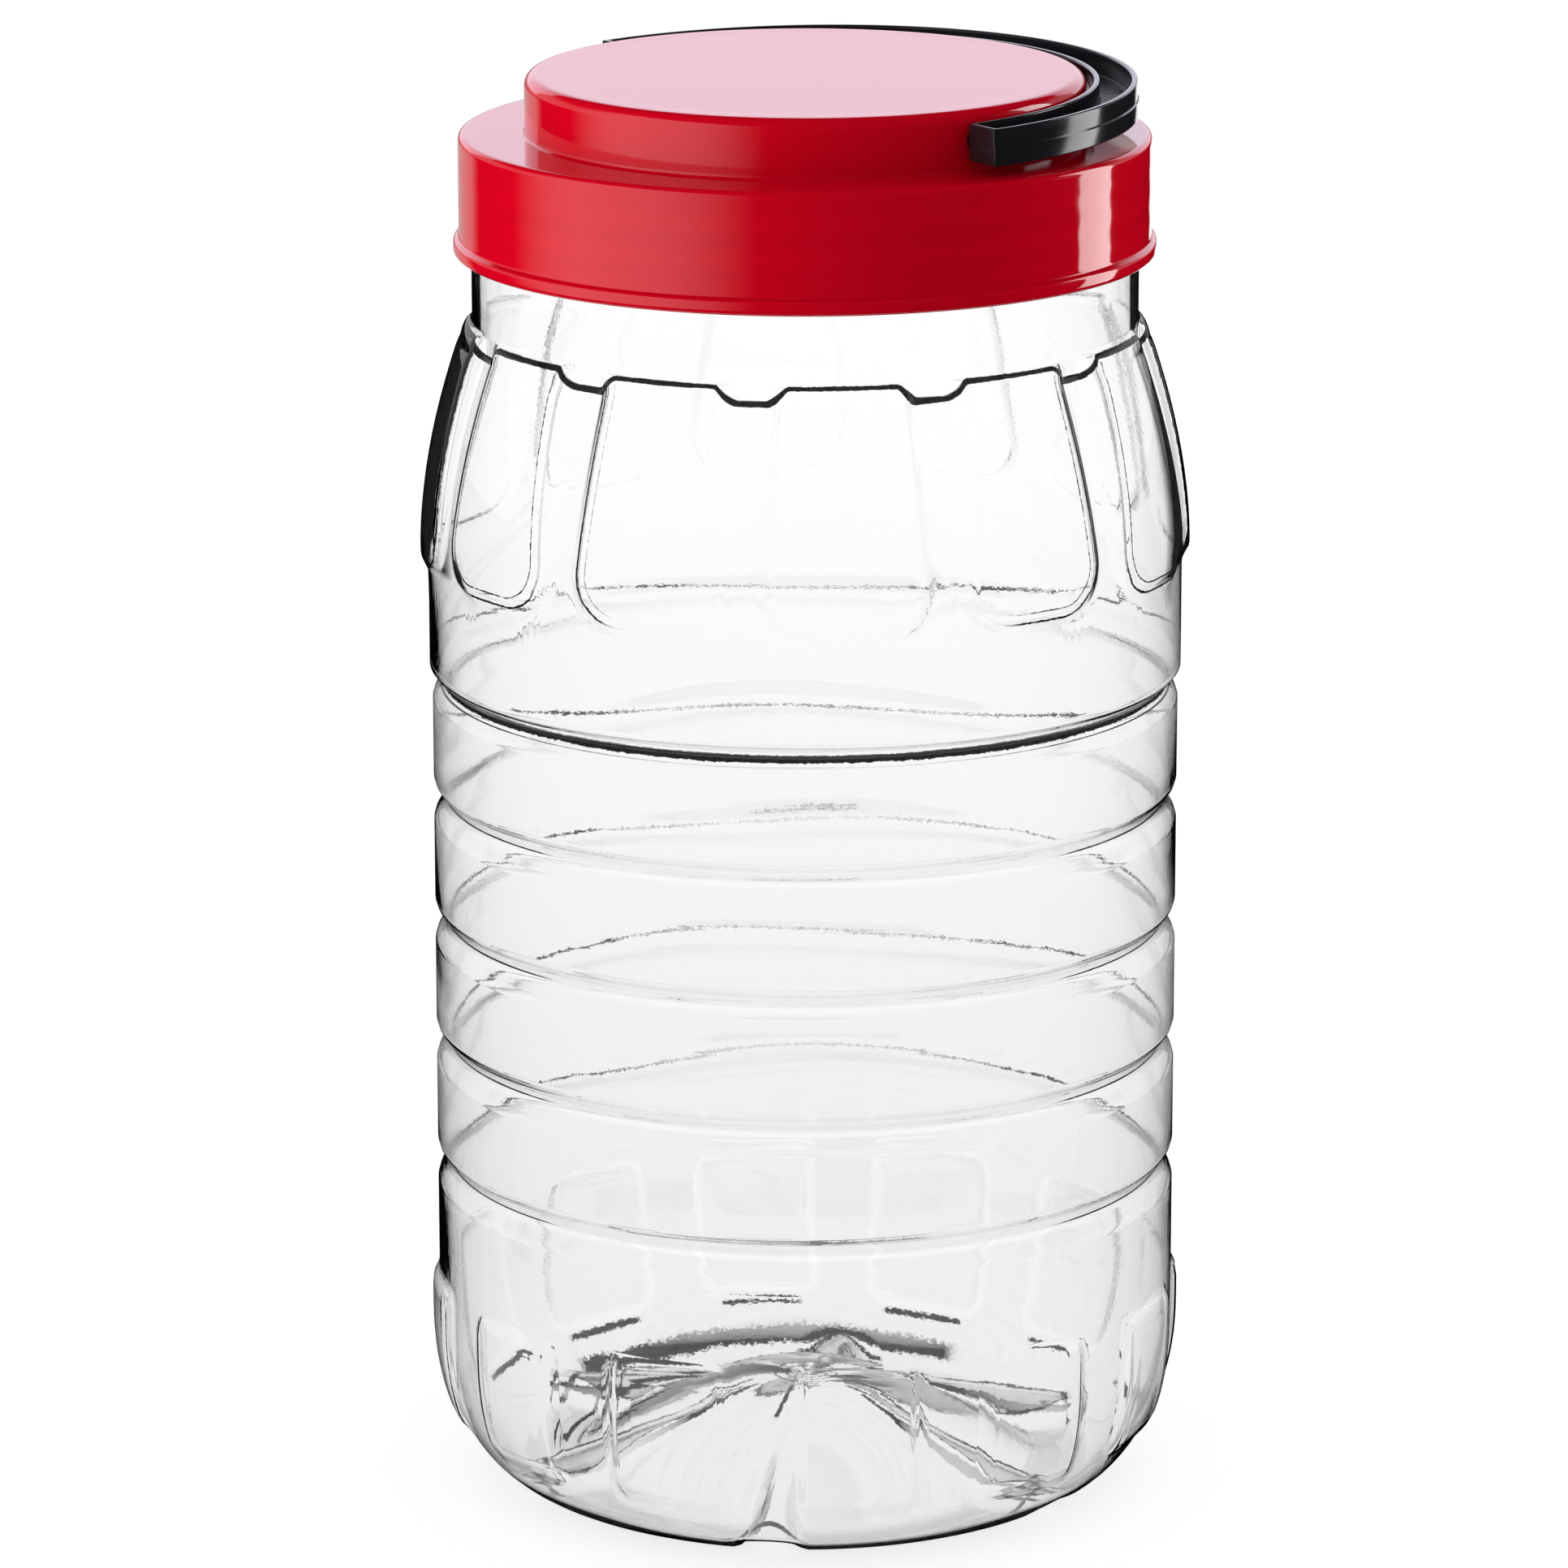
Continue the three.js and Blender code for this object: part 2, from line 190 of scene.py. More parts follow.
def jar_profile():
    rows = [(radius, foot_profile(radius)) for radius in (0, 1.6, 3, 4.4, 6, 8)]
    rows += [(radius, foot_profile(radius)) for radius in np.linspace(10, foot_inner, 15)]
    rows += [(44, 0)]
    for turn in np.linspace(0, pi / 2, 25):
        rows.append((
            foot_radius + (body_radius - foot_radius) * sin(turn) ** (2 / heel_power),
            heel_height * (1 - cos(turn) ** (2 / heel_power)),
        ))
    heights = list(np.linspace(33.5, 37, 3)) + [38, 38.6, 39.2, 39.8] + list(np.linspace(43, 53, 3))
    for middle in groove_heights:
        heights += list(middle + np.array([-4.1, -3.2, -2.3, -1.5, -0.75, 0, 0.75, 1.5, 2.3, 3.2, 4.1]))
        heights += list(middle + np.array([8, 11.3, 14.5]))
    heights += [170, 172.6] + list(np.linspace(173.6, 184, 12)) + list(np.linspace(187, 206, 7))
    heights += [208, 209] + list(np.arange(209.8, 215.6, 0.35)) + [216.4, 219, 224, 228, 230.6]
    for height in heights:
        radius = body_radius if height < groove_heights[-1] else band_radius
        if height > shoulder_start:
            radius = shoulder_radius(height)
        rows.append((radius - groove(height), height))
    rows += [(finish_radius, height) for height in np.arange(231.8, 244, 0.5)]
    return rows + [(finish_radius, rim_height)]


jar = turned("jar_shell", jar_profile(), columns_per_unit * unit_count)
places = positions(jar)
radius = np.hypot(places[:, 0], places[:, 1])
height = places[:, 2].copy()
azimuth = np.arctan2(places[:, 0], -places[:, 1])

# Columns are drawn together where a panel, a window or a channel has its edge. The degrees off the middle of a
# unit where the third and the eighth column stand are given by height.
unit = tau / unit_count
even_third, even_eighth, unit_end = 4.5, 12, 15
key = [0, 8, 12, 39, 50, 56, 170, 174, 209, 215, 222]
third = np.interp(height, key, [6.2, 6.2, 7.8, 7.8, 5, 5, 5, 10.4, 8.2, 8.2, 5])
eighth = np.interp(height, key, [13, 13, 11.6, 11.6, 12, 12, 12, 13.8, 12.4, 12.4, 12])
within = (azimuth + unit / 2) % unit - unit / 2
middle = azimuth - within
spread = np.degrees(abs(within))
spread = np.where(
    spread < even_third, spread / even_third * third,
    np.where(
        spread < even_eighth,
        third + (spread - even_third) / (even_eighth - even_third) * (eighth - third),
        eighth + (spread - even_eighth) / (unit_end - even_eighth) * (unit_end - eighth),
    ),
)
within = np.copysign(np.radians(spread), within)
azimuth = middle + within + lower_turn * np.interp(height, [46, 54], [1, 0])

# Panels on the shoulder
climb = np.clip((height - shoulder_start) / (panel_roll - shoulder_start), 0, 1)
half_width = panel_half - panel_taper * climb
side = radius * abs(within) - half_width + panel_corner
below = shoulder_start + panel_corner - height
outside = np.hypot(np.maximum(side, 0), np.maximum(below, 0)) + np.minimum(np.maximum(side, below), 0) - panel_corner
roll = np.clip((height - panel_roll) / (panel_top - panel_roll), 0, 1)
stand = (1.4 + climb) * np.sqrt(1 - roll**2)
panel = np.where(height > 165, stand * smooth_step(1 - (outside + 0.2) / (panel_edge + 0.4)), 0)

# Windows round the lower part
side = radius * abs(within) - window_width / 2 + window_corner
ends = abs(height - (window_bottom + window_top) / 2) - (window_top - window_bottom) / 2 + window_corner
outside = np.hypot(np.maximum(side, 0), np.maximum(ends, 0)) + np.minimum(np.maximum(side, ends), 0) - window_corner
window = np.where((height < 45) & (radius > 50), window_proud * smooth_step(-outside / window_edge), 0)

# Thread round the neck, run out at both ends
turn = np.arctan2(places[:, 1], places[:, 0]) / tau % 1
thread = 0
for lap in (0, 1):
    along = turn + lap
    ridge = np.clip(1.6 - abs(height - thread_start - thread_pitch * along) / 0.7, 0, 1)
    ends = smooth_step(np.minimum(along, thread_turns - along) * 20)
    thread = np.maximum(thread, thread_depth * smooth_step(ridge) * ends)

# Channels between the feet
past = (azimuth - channel_azimuth + unit) % (2 * unit) - unit
across = np.sin(np.clip(1 - abs(past) / channel_half, 0, 1) * pi / 2) ** 2
floor_line = push_up + (channel_end_height - push_up) * (radius / channel_end_radius) ** 1.3
rise = floor_line - height
rise = np.where((height < 25) & (radius > gate_radius), (rise + np.sqrt(rise**2 + 0.2)) / 2, 0)
rise = rise * smooth_step((radius - gate_radius) / 6)
height = height + np.where(height < 25, rise * across, 0)

stretch = radius + panel + window + np.where(height > finish_bottom, thread, 0)
places = np.stack([stretch * np.sin(azimuth), -stretch * np.cos(azimuth), height], axis=1)
set_positions(jar, places)

# The wall: thick round the neck, thin in the body
before = positions(jar)
walls = jar.vertex_groups.new(name="wall")
uneven_wall = 0.1 * np.sin(5 * azimuth + height / 9) + 0.08 * np.sin(3 * azimuth - height / 17 + 1)
share = np.interp(height, [0, 225, 232], [body_wall, body_wall, neck_wall]) / neck_wall * (1 + uneven_wall)
for number, value in enumerate(np.clip(share, 0, 1)):
    walls.add([number], float(value), "REPLACE")
apply_modifier(
    jar, "SOLIDIFY", thickness=neck_wall * mm, offset=-1, vertex_group="wall",
    use_even_offset=True, use_quality_normals=True,
)
bpy.ops.object.shade_smooth()
after = positions(jar)
outer_first = np.allclose(after[:len(before)], before, atol=0.01)
outside_wall = np.zeros(len(after), dtype=np.float32)
outside_wall[:len(before) if outer_first else 0] = 1
outside_wall[len(after) if outer_first else len(before):] = 1

# The material tells the outside of the wall from its inside by this mark
mark = jar.data.attributes.new("outside_wall", "FLOAT", "POINT")
mark.data.foreach_set("value", outside_wall)


def new_material(name):
    material = bpy.data.materials.new(name)
    material.use_nodes = True
    nodes = material.node_tree.nodes
    return material, nodes["Principled BSDF"], nodes["Material Output"]


def put(tree, socket, value):
    """Sets a socket to a value, or links an output to it."""
    if isinstance(value, bpy.types.NodeSocket):
        tree.links.new(value, socket)
    else:
        socket.default_value = value


def node_calls(tree):
    """Three calls that add a node to the tree, wire what it is given and give back its output."""
    def maths(operation, *values):
        node = tree.nodes.new("ShaderNodeMath")
        node.operation = operation
        for socket, value in zip(node.inputs, values):
            put(tree, socket, value)
        return node.outputs["Value"]

    def fade(value, start, end, low=0.0, high=1.0):
        node = tree.nodes.new("ShaderNodeMapRange")
        node.interpolation_type = "SMOOTHSTEP"
        names = ("Value", "From Min", "From Max", "To Min", "To Max")
        for name, given in zip(names, (value, start, end, low, high)):
            put(tree, node.inputs[name], given)
        return node.outputs["Result"]

    def noise(place, scale, detail=2.0, roughness=0.5):
        node = tree.nodes.new("ShaderNodeTexNoise")
        for name, given in (("Vector", place), ("Scale", scale), ("Detail", detail), ("Roughness", roughness)):
            put(tree, node.inputs[name], given)
        return node.outputs["Fac"]

    return maths, fade, noise


def stretched(tree, place, turn, scale):
    """The place turned and stretched by a Mapping node."""
    node = tree.nodes.new("ShaderNodeMapping")
    tree.links.new(place, node.inputs["Vector"])
    node.inputs["Rotation"].default_value = turn
    node.inputs["Scale"].default_value = scale
    return node.outputs["Vector"]


# The skin of a moulding: slow changes of tone, cloudy gloss, hairline rubs and a fine unevenness
skin = bpy.data.node_groups.new("moulded_skin", "ShaderNodeTree")
for name, low, high in (("Gloss", 0.0, 1.0), ("Cloudiness", 0.0, 1.0), ("Rubs", 0.0, 1.0), ("Tone", 0.0, 1.0)):
    socket = skin.interface.new_socket(name, in_out="INPUT", socket_type="NodeSocketFloat")
    socket.min_value, socket.max_value = low, high
for name in ("Roughness", "Tone", "Height"):
    skin.interface.new_socket(name, in_out="OUTPUT", socket_type="NodeSocketFloat")
given = skin.nodes.new("NodeGroupInput").outputs
result = skin.nodes.new("NodeGroupOutput").inputs
place = skin.nodes.new("ShaderNodeTexCoord").outputs["Object"]
maths, fade, noise = node_calls(skin)
clouds = maths("SUBTRACT", noise(place, 55.0, 4.0), 0.5)
hairlines = 0.0
for turn, scale in (((0.3, 0.2, 0.5), (40, 40, 1900)), ((1.1, 0.7, 2.1), (1700, 30, 45))):
    streak = fade(noise(stretched(skin, place, turn, scale), 1.0, 1.0), 0.66, 0.74)
    patch = fade(noise(stretched(skin, place, turn, (1, 1, 1)), 38.0, 1.0), 0.5, 0.65)
    hairlines = maths("MAXIMUM", hairlines, maths("MULTIPLY", streak, patch))
rubbed = maths("MULTIPLY", hairlines, given["Rubs"])
gloss = maths("MULTIPLY_ADD", clouds, given["Cloudiness"], given["Gloss"])
skin.links.new(maths("MAXIMUM", maths("MULTIPLY_ADD", rubbed, 0.3, gloss), 0.004), result["Roughness"])
slow = maths("SUBTRACT", noise(place, 14.0, 3.0), 0.5)
skin.links.new(maths("MULTIPLY_ADD", slow, given["Tone"], 1.0), result["Tone"])
grain = maths("MULTIPLY_ADD", noise(place, 1400.0, 2.0), 0.25, noise(place, 130.0, 2.0))
skin.links.new(maths("MULTIPLY_ADD", rubbed, -0.6, grain), result["Height"])


def add_skin(material, shader, gloss, cloudiness, rubs, tone, bump):
    """Puts the skin on a shader, whose bump is given in millimetres; gives the group node."""
    tree = material.node_tree
    group = tree.nodes.new("ShaderNodeGroup")
    group.node_tree = skin
    for name, value in (("Gloss", gloss), ("Cloudiness", cloudiness), ("Rubs", rubs), ("Tone", tone)):
        group.inputs[name].default_value = value
    relief = tree.nodes.new("ShaderNodeBump")
    relief.inputs["Distance"].default_value = bump * mm
    tree.links.new(group.outputs["Height"], relief.inputs["Height"])
    tree.links.new(group.outputs["Roughness"], shader.inputs["Roughness"])
    tree.links.new(relief.outputs["Normal"], shader.inputs["Normal"])
    return group, relief


def mix_colours(tree, blend, share, first, second):
    node = tree.nodes.new("ShaderNodeMix")
    node.data_type, node.blend_type = "RGBA", blend
    colours = [socket for socket in node.inputs if socket.type == "RGBA"]
    for socket, value in zip((node.inputs["Factor"], *colours), (share, first, second)):
        put(tree, socket, value)
    return [socket for socket in node.outputs if socket.type == "RGBA"][0]


def mix_shaders(tree, share, first, second):
    node = tree.nodes.new("ShaderNodeMixShader")
    for socket, value in zip(node.inputs, (share, first, second)):
        put(tree, socket, value)
    return node.outputs["Shader"]


def grey_ramp(tree, value, stops):
    """A ramp of greys through stops, each a place and a level."""
    node = tree.nodes.new("ShaderNodeValToRGB")
    for number, (spot, level) in enumerate(stops):
        stop = node.color_ramp.elements[number] if number < 2 else node.color_ramp.elements.new(spot)
        stop.position = spot
        stop.color = (level, level, level, 1)
    tree.links.new(value, node.inputs["Fac"])
    return node.outputs["Color"]


def object_place(tree, scale=1):
    """The place on the piece as a vector in metres, and its three coordinates times the scale."""
    place = tree.nodes.new("ShaderNodeTexCoord").outputs["Object"]
    scaled = tree.nodes.new("ShaderNodeVectorMath")
    scaled.operation = "SCALE"
    scaled.inputs["Scale"].default_value = scale
    tree.links.new(place, scaled.inputs[0])
    apart = tree.nodes.new("ShaderNodeSeparateXYZ")
    tree.links.new(scaled.outputs["Vector"], apart.inputs["Vector"])
    return place, *apart.outputs


clear, shader, output = new_material("clear_polyester")
tree = clear.node_tree
group, _ = add_skin(clear, shader, gloss=0.01, cloudiness=0.01, rubs=0.04, tone=0.02, bump=0.012)
shader.inputs["Transmission Weight"].default_value = 1
shader.inputs["Metallic"].default_value = 0
shader.inputs["IOR"].default_value = 1.57
maths, fade, noise = node_calls(tree)
place, x, y, z = object_place(tree, scale=1000)
around = maths("ARCTAN2", x, maths("MULTIPLY", y, -1.0))
reach = maths("SQRT", maths("MULTIPLY_ADD", x, x, maths("MULTIPLY", y, y)))
ragged = maths("SUBTRACT", noise(place, 1300.0, 2.0, 0.7), 0.5)
brushed = maths("SUBTRACT", noise(place, 90.0, 2.0), 0.5)


def line(distance, half, soft=0.12, uneven=0.5, torn=0.5):
    """A line of the given half width in mm, uneven in width and torn at its edges."""
    share = maths("MULTIPLY_ADD", brushed, 2 * uneven, 1.0)
    width = maths("MULTIPLY_ADD", share, half, maths("MULTIPLY", ragged, torn))
    return fade(maths("SUBTRACT", maths("ABSOLUTE", distance), width), soft, -soft)


def both(first, second):
    return maths("MULTIPLY", first, second)


def either(first, second):
    return maths("MAXIMUM", first, second)


def off_middle(angle, period):
    """How far an angle is off the nearest middle of a period."""
    return maths("ABSOLUTE", maths("WRAP", angle, period / 2, -period / 2))


def past_rounded(side, end, size):
    """How far a place is past the edge of a form with corners rounded to a size."""
    squares = maths("ADD", maths("POWER", either(side, 0.0), 2.0), maths("POWER", either(end, 0.0), 2.0))
    within_form = maths("MINIMUM", either(side, end), 0.0)
    return maths("SUBTRACT", maths("ADD", maths("SQRT", squares), within_form), size)


# Which wall and which side of it is looked at, how steeply, and from where round the jar; these place the painted
# shade and painted highlights below
wall_side = tree.nodes.new("ShaderNodeAttribute")
wall_side.attribute_name = "outside_wall"
outer_face = wall_side.outputs["Fac"]
leaving = tree.nodes.new("ShaderNodeNewGeometry").outputs["Backfacing"]
towards = maths("SUBTRACT", 1.0, leaving)
inner_face = maths("SUBTRACT", 1.0, outer_face)
from_outside, from_inside = both(outer_face, towards), both(inner_face, towards)
near_wall = maths("ADD", from_outside, both(inner_face, leaving))
far_wall = maths("SUBTRACT", 1.0, near_wall)
grazing = tree.nodes.new("ShaderNodeLayerWeight")
grazing.inputs["Blend"].default_value = 0.5
facing = grazing.outputs["Facing"]
sideways = maths("ABSOLUTE", maths("SINE", maths("SUBTRACT", around, camera_azimuth)))
opposite = camera_azimuth + pi
behind = maths("COSINE", maths("SUBTRACT", around, opposite))
left_behind = maths("COSINE", maths("SUBTRACT", around, opposite + 0.147))

# Painted shade lines along the outline of the shoulder panels and along the sharp corner where they and the shoulder
# meet the neck
corner_height, corner_dip = 213.8, 2.9
across = both(reach, off_middle(around, unit))
rise_share = maths("MINIMUM", maths("DIVIDE", maths("SUBTRACT", z, shoulder_start), panel_roll - shoulder_start), 1.0)
side = maths("ADD", maths("MULTIPLY_ADD", rise_share, panel_taper, across), panel_corner - panel_half)
below = maths("SUBTRACT", shoulder_start + panel_corner, z)
from_panel = past_rounded(side, below, panel_corner)
valley = fade(from_panel, -0.9, 3.3)
neck_corner = maths("MULTIPLY_ADD", valley, -corner_dip, corner_height)
over_corner = maths("SUBTRACT", z, neck_corner)
step = both(valley, maths("SUBTRACT", 1.0, valley))
half_line = maths("MULTIPLY_ADD", valley, 0.2, 0.42)
neck_shade_line = line(maths("DIVIDE", over_corner, maths("MULTIPLY_ADD", step, 2.4, 1.0)), half_line, torn=0.3)
on_panels = both(fade(z, 170.4, 171.2), fade(z, 213.4, 212.6))
panel_shade_line = both(line(maths("SUBTRACT", from_panel, 0.9), 0.24), on_panels)
inner_panel_shade_line = both(line(maths("ADD", from_panel, 0.9), 0.14), on_panels)
on_neck = both(fade(over_corner, 0.3, 0.9), fade(z, 206.0, 209.0))
on_shoulder = both(fade(z, 171.0, 173.0), fade(over_corner, 0.0, -0.8))

# Painted shade lines at the grooves, of which the first from above is the sharpest, and the painted shade lines that
# they make on the far wall: the height of each line, half its width, and how much it rises towards the sides
first_groove = groove_heights[-1]
first_groove_shade = line(maths("SUBTRACT", z, first_groove - 0.1), 0.85, uneven=0.35, torn=0.7)
under_groove_shade = line(maths("SUBTRACT", z, first_groove - 1.6), 0.11, torn=0.1)
far_shade_lines = ((59.9, 0.24, 0), (84.1, 0.18, 0), (105.6, 0.22, 0), (126.4, 0.26, 15), (150.4, 0.2, 7))
# A painted dark reflection: a wide, torn dark line at this height on the far wall, straight opposite the camera
dark_reflection_height = 107.0
back_shade_lines = both(line(maths("SUBTRACT", z, dark_reflection_height), 0.45, soft=0.5, torn=1.4), fade(behind, 0.975, 0.992))
for line_height, half, lift in far_shade_lines:
    off = maths("SUBTRACT", maths("SUBTRACT", z, line_height), maths("MULTIPLY_ADD", behind, -lift, lift))
    back_shade_lines = either(back_shade_lines, line(off, half, uneven=0.9, torn=0.7))
# Painted highlights along the lower four grooves, thin painted shade lines just above them, and painted shade on the
# slope above each
groove_highlight, groove_shade, crease_shade = 0.0, 0.0, 0.0
for middle_of_groove in groove_heights[:-1]:
    off = maths("SUBTRACT", z, middle_of_groove)
    groove_highlight = either(groove_highlight, line(maths("ADD", off, 0.3), 0.5, soft=0.3, torn=0.1))
    crease_shade = either(crease_shade, line(maths("SUBTRACT", off, 0.5), 0.16, soft=0.1, uneven=0.4, torn=0.15))
    groove_shade = either(groove_shade, both(fade(off, 0.2, 0.9), fade(off, 5.6, 0.9)))

# Painted shade lines at the windows, the heel, the foot and the channels of the base, and painted highlights along
# the windows
heel_band_radius, arch_radius, foot_line_radii, gate_radii = 56.6, 52.5, (45.2, 42.4), (3.6, 5.6)
across = both(reach, off_middle(maths("SUBTRACT", around, lower_turn), unit))
window_side = maths("ADD", across, window_corner - window_width / 2)
window_end = maths(
    "ADD", maths("ABSOLUTE", maths("SUBTRACT", z, (window_bottom + window_top) / 2)),
    window_corner - (window_top - window_bottom) / 2,
)
from_window = past_rounded(window_side, window_end, window_corner)
low_down = both(fade(z, 44.0, 43.0), fade(reach, 55.0, 56.0))
window_highlight = both(line(maths("ADD", from_window, 0.6), 0.7, soft=0.4, torn=0.2), low_down)
window_shade = both(line(maths("SUBTRACT", from_window, 0.5), 0.16, uneven=0.8, torn=0.3), low_down)
window_sill_shade = both(
    line(maths("SUBTRACT", z, window_bottom - 0.9), 0.5, uneven=0.9, torn=0.8),
    both(fade(window_side, 1.2, -0.8), low_down),
)
under = fade(z, 26.0, 24.0)
heel_shade_band = both(
    line(maths("SUBTRACT", reach, heel_band_radius), 1.7, soft=0.35, uneven=0.5, torn=3.0),
    both(under, fade(left_behind, 0.743, 0.81)),
)
foot_shade_lines = both(
    either(
        line(maths("SUBTRACT", reach, foot_line_radii[0]), 0.5),
        line(maths("SUBTRACT", reach, foot_line_radii[1]), 0.35),
    ),
    both(under, fade(left_behind, 0.1, 0.4)),
)
from_channel = maths("SUBTRACT", around, channel_azimuth)
past_channel = both(reach, off_middle(from_channel, 2 * unit))
channel_edge = maths("SUBTRACT", past_channel, maths("MULTIPLY_ADD", reach, 0.055, 0.9))
off_line = maths("ABSOLUTE", maths("SINE", from_channel))
channel_shade_line = both(
    line(channel_edge, 0.5, uneven=0.9),
    both(both(under, fade(off_line, 0.3, 0.6)), both(fade(reach, 9.0, 12.0), fade(reach, 57.0, 54.0))),
)
gate_shade_ring = both(
    either(line(maths("SUBTRACT", reach, gate_radii[0]), 0.25), line(maths("SUBTRACT", reach, gate_radii[1]), 0.2)),
    under,
)
base_shade_stroke = both(
    line(maths("MULTIPLY_ADD", x, -0.8, maths("MULTIPLY", y, -0.6)), 0.5),
    both(fade(reach, 20.0, 17.0), fade(reach, 7.0, 9.0)),
)
arch_shade = both(line(maths("SUBTRACT", reach, arch_radius), 0.8, soft=0.4), both(under, fade(past_channel, 9.5, 7.5)))

# Painted shade seen from outside: dark lines at the corners and grooves, and painted darkening on the steep edges of
# the neck, the panels and the foot
shade_seen_outside = either(either(neck_shade_line, first_groove_shade), maths("MULTIPLY", under_groove_shade, 0.75))
panel_outline_shade = both(either(panel_shade_line, inner_panel_shade_line), fade(sideways, 0.38, 0.56, 0.2, 0.75))
shade_seen_outside = either(shade_seen_outside, either(panel_outline_shade, both(crease_shade, fade(sideways, 0.58, 0.8, 0.1, 0.8))))
steep_edge_shade = either(both(on_neck, fade(facing, 0.74, 0.79)), both(on_shoulder, fade(facing, 0.62, 0.7)))
steep_edge_shade = either(steep_edge_shade, both(both(fade(z, 7.0, 4.5), fade(reach, 44.0, 46.0)), fade(facing, 0.62, 0.74)))
shade_seen_outside = either(shade_seen_outside, maths("MULTIPLY", steep_edge_shade, 0.28))

# Painted shade seen on the inside of the far wall
shade_seen_inside = either(either(maths("MULTIPLY", back_shade_lines, 0.82), maths("MULTIPLY", heel_shade_band, 0.8)), window_sill_shade)
shade_seen_inside = either(shade_seen_inside, maths("MULTIPLY", either(foot_shade_lines, channel_shade_line), 0.76))
shade_seen_inside = either(shade_seen_inside, maths("MULTIPLY", either(either(gate_shade_ring, base_shade_stroke), arch_shade), 0.7))
shade_seen_inside = either(shade_seen_inside, maths("MULTIPLY", window_shade, 0.25))
shade_seen_inside = either(shade_seen_inside, both(maths("MULTIPLY", panel_shade_line, 0.5), fade(z, 182.0, 176.0)))
# Painted shade in the base colour: the painted lines are added to how obliquely the wall is seen, less a little on
# the neck, and the rim ramp turns this black at the edges and along the lines
corners = maths("ADD", both(from_outside, shade_seen_outside), both(from_inside, shade_seen_inside))
cleared = both(on_neck, fade(facing, 0.79, 0.74, 0.0, 0.4))
edge_shade_amount = maths("SUBTRACT", maths("ADD", facing, corners), cleared)
rim = grey_ramp(tree, edge_shade_amount, [
    (0.2, 1), (0.34, 0.99), (0.5, 0.965), (0.6, 0.94), (0.68, 0.89), (0.76, 0.83), (0.86, 0.4), (1, 0.0006),
])

# Painted shade: the wall is tinted a little greyer lower down, and on the slope above each groove seen from outside
shade_by_height = [(0, 0.915), (0.27, 0.925), (0.42, 0.95), (0.62, 0.965), (0.7, 0.98), (0.86, 1)]
tint = tree.nodes.new("ShaderNodeSeparateColor")
tree.links.new(grey_ramp(tree, maths("DIVIDE", z, 250.0), shade_by_height), tint.inputs["Color"])
level = maths("MULTIPLY", tint.outputs["Red"], maths("MULTIPLY_ADD", both(groove_shade, from_outside), -0.07, 1.0))
# Painted highlights: pale lines along the grooves on the near wall and along the windows on the far wall, which
# lighten the colour towards white
pale = either(both(groove_highlight, near_wall), both(maths("MULTIPLY", window_highlight, 0.75), far_wall))
level = maths("ADD", level, both(pale, maths("SUBTRACT", 1.0, level)))
level = maths("MINIMUM", maths("MULTIPLY", level, group.outputs["Tone"]), 1.0)
tree.links.new(mix_colours(tree, "MULTIPLY", 1, rim, level), shader.inputs["Base Color"])

# The plastic takes up a little light on the way through, and its shadow is pale
absorb = tree.nodes.new("ShaderNodeVolumeAbsorption")
absorb.inputs["Color"].default_value = (0.35, 0.37, 0.38, 1)
absorb.inputs["Density"].default_value = 20
path = tree.nodes.new("ShaderNodeLightPath")
through = tree.nodes.new("ShaderNodeBsdfTransparent")
through.inputs["Color"].default_value = (0.93, 0.94, 0.95, 1)
surface = mix_shaders(tree, path.outputs["Is Shadow Ray"], shader.outputs["BSDF"], through.outputs["BSDF"])
tree.links.new(surface, output.inputs["Surface"])
tree.links.new(absorb.outputs["Volume"], output.inputs["Volume"])
jar.data.materials.clear()
jar.data.materials.append(clear)
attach(jar, "jar")
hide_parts("jar_body")


# Screw cap: one injection moulding of glossy red polypropylene. A skirt with
# a bead at its edge, a flat ledge, and a raised boss that carries the handle.
ledge_underside = 246.6
ledge_top = 248.0
cap_top = 258.5
skirt_bottom = 226.7
skirt_radius, skirt_inner, boss_radius = 61.5, 60.1, 49.7
cap_wall, inner_edge, ledge_edge, boss_edge, boss_fillet, bead = 1.4, 1.2, 1.1, 2.1, 0.5, 0.8
pivot_height = 253.45
cap_thread_crest, cap_thread_start = 58.7, 231.5


def corner(radius, height, size, start, stop, steps):
    """Points of a rounded corner about a centre, from one angle in degrees to another."""
    return [
        (radius + size * cos(radians(a)), height + size * sin(radians(a)))
        for a in np.linspace(start, stop, steps)
    ]


cap_profile = [(0, cap_top - cap_wall)]
cap_profile += corner(
    boss_radius - cap_wall - inner_edge, cap_top - cap_wall - inner_edge, inner_edge, 90, 0, 5,
)
cap_profile += [(boss_radius - cap_wall, ledge_underside), (skirt_inner - 0.6, ledge_underside)]
cap_profile += [(skirt_inner, ledge_underside - 0.6), (skirt_inner, skirt_bottom + 0.2)]
cap_profile += [(skirt_inner + 0.2, skirt_bottom), (skirt_radius + 0.3, skirt_bottom)]
cap_profile += corner(skirt_radius + 0.2, skirt_bottom + 0.9, bead, -80, 0, 5)
cap_profile += corner(skirt_radius + 0.2, skirt_bottom + 2, bead, 0, 85, 5)
cap_profile += corner(skirt_radius + 0.4, skirt_bottom + 3.2, 0.4, 270, 180, 4)
cap_profile += corner(skirt_radius - ledge_edge, ledge_top - ledge_edge, ledge_edge, 0, 90, 7)
cap_profile += corner(boss_radius + boss_fillet, ledge_top + boss_fillet, boss_fillet, 270, 180, 4)
cap_profile += corner(boss_radius - boss_edge, cap_top - boss_edge, boss_edge, 0, 90, 10)
cap_profile += [(boss_radius - 4, cap_top), (44, cap_top - 0.02), (30, cap_top - 0.03), (0, cap_top - 0.03)]
cap = turned("cap_moulding", held_flat(cap_profile), 256)

